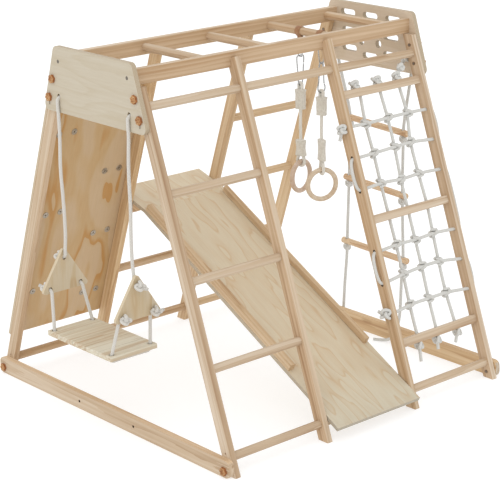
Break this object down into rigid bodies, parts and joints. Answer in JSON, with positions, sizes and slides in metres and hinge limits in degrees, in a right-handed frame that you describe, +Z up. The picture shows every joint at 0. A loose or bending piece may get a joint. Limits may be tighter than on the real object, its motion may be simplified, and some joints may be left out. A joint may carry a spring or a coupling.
{
  "type": "climbing frame",
  "caption": "Wooden indoor climbing frame: leaning legs under two top rails with monkey bars, rung ladders, rope net, climbing wall, slide, swing, gym rings and rope ladder.",
  "frame": {"origin": "on the floor under the middle of the frame, midway between the two base rails", "axes": "+X along the top rails away from the swing, +Y from the front legs to the rear legs, +Z up"},
  "size_m": [1.5151, 1.3747, 1.314],
  "materials": {
    "pine": "oiled",
    "plate_plywood": "satin",
    "wall_plywood": "satin",
    "slide_plywood": "satin",
    "seat_wood": "satin",
    "knob": "matte",
    "steel": "plated",
    "grip": "matte",
    "rope": "braided",
    "strap": "matte",
    "ring_wood": "satin",
    "rung_wood": "satin"
  },
  "bodies": {
    "frame": {"front_leg_1": "pine", "front_leg_2": "pine", "front_leg_3": "pine", "front_leg_4": "pine", "rear_leg_1": "pine", "rear_leg_2": "pine", "rear_leg_3": "pine", "rear_leg_4": "pine", "front_top_rail": "pine", "rear_top_rail": "pine", "monkey_bar_1": "pine", "monkey_bar_2": "pine", "monkey_bar_3": "pine", "monkey_bar_4": "pine", "monkey_bar_5": "pine", "front_ladder_rungs": "pine", "front_panel_dowels": "pine", "wall_dowel": "pine", "rear_middle_dowels": "pine", "rear_ladder_rungs": "pine", "net_slats": "pine", "left_base_rail": "pine", "right_base_rail": "pine", "left_end_plate": "plate_plywood", "right_end_plate": "plate_plywood", "climbing_wall": "wall_plywood", "knob_nuts": "knob", "frame_bolts": "steel", "rail_screws": "steel", "hold_bolts": "steel", "tee_nuts": "steel", "climbing_holds": "grip", "swing_rope_anchors": "rope", "ladder_rope_anchors": "rope", "net_uprights": "rope", "net_lacing": "rope"},
    "slide": {"slide_board": "slide_plywood", "slide_flap": "slide_plywood", "slide_side_strips": "pine", "slide_hook_cheeks": "pine"},
    "swing": {"swing_ropes": "rope", "swing_bridles": "rope", "swing_triangles": "seat_wood", "swing_seat_planks": "seat_wood", "swing_seat_battens": "pine"},
    "rope_ladder": {"ladder_ropes": "rope", "ladder_rungs": "rung_wood", "ladder_rope_tails": "rope"},
    "ring_set_1": {"ring_strap_1": "strap", "ring_link_1": "steel", "snap_hook_1": "steel", "ring_rope_1": "rope"},
    "gate_1": {"hook_gate_1": "steel"},
    "ring_1": {"gym_ring_1": "ring_wood"},
    "ring_set_2": {"ring_strap_2": "strap", "ring_link_2": "steel", "snap_hook_2": "steel", "ring_rope_2": "rope"},
    "gate_2": {"hook_gate_2": "steel"},
    "ring_2": {"gym_ring_2": "ring_wood"}
  },
  "joints": [
    {"name": "slide_lift", "type": "hinge", "parent": "frame", "child": "slide", "pos_m": [0, 0.43523, 0.613], "axis": [-1, 0, 0], "range_deg": [0, 8]},
    {"name": "swing", "type": "hinge", "parent": "frame", "child": "swing", "pos_m": [-0.6663, 0, 1.078], "axis": [0, -1, 0], "range_deg": [-25, 25]},
    {"name": "rope_ladder", "type": "hinge", "parent": "frame", "child": "rope_ladder", "pos_m": [0.6653, 0, 1.079], "axis": [0, -1, 0], "range_deg": [-8, 20], "deforming": ["ladder_rope_tails"]},
    {"name": "ring_swing_1", "type": "hinge", "parent": "frame", "child": "ring_set_1", "pos_m": [0.294, 0.013, 1.262], "axis": [0, -1, 0], "range_deg": [-22, 22]},
    {"name": "hook_gate_1", "type": "hinge", "parent": "ring_set_1", "child": "gate_1", "pos_m": [0.3085, 0.013, 1.0927], "axis": [0, -1, 0], "range_deg": [0, 22], "stiffness_Nm_per_rad": 0.05, "springref_deg": -11.46},
    {"name": "ring_tilt_1", "type": "hinge", "parent": "ring_set_1", "child": "ring_1", "pos_m": [0.294, 0.013, 0.7688], "axis": [0.9816, 0.1908, 0], "range_deg": [-18, 18]},
    {"name": "ring_swing_2", "type": "hinge", "parent": "frame", "child": "ring_set_2", "pos_m": [0.294, -0.1, 1.262], "axis": [0, -1, 0], "range_deg": [-22, 22]},
    {"name": "hook_gate_2", "type": "hinge", "parent": "ring_set_2", "child": "gate_2", "pos_m": [0.3085, -0.1, 1.0817], "axis": [0, -1, 0], "range_deg": [0, 22], "stiffness_Nm_per_rad": 0.05, "springref_deg": -11.46},
    {"name": "ring_tilt_2", "type": "hinge", "parent": "ring_set_2", "child": "ring_2", "pos_m": [0.294, -0.1, 0.7578], "axis": [0.9336, -0.3584, 0], "range_deg": [-18, 18]}
  ]
}
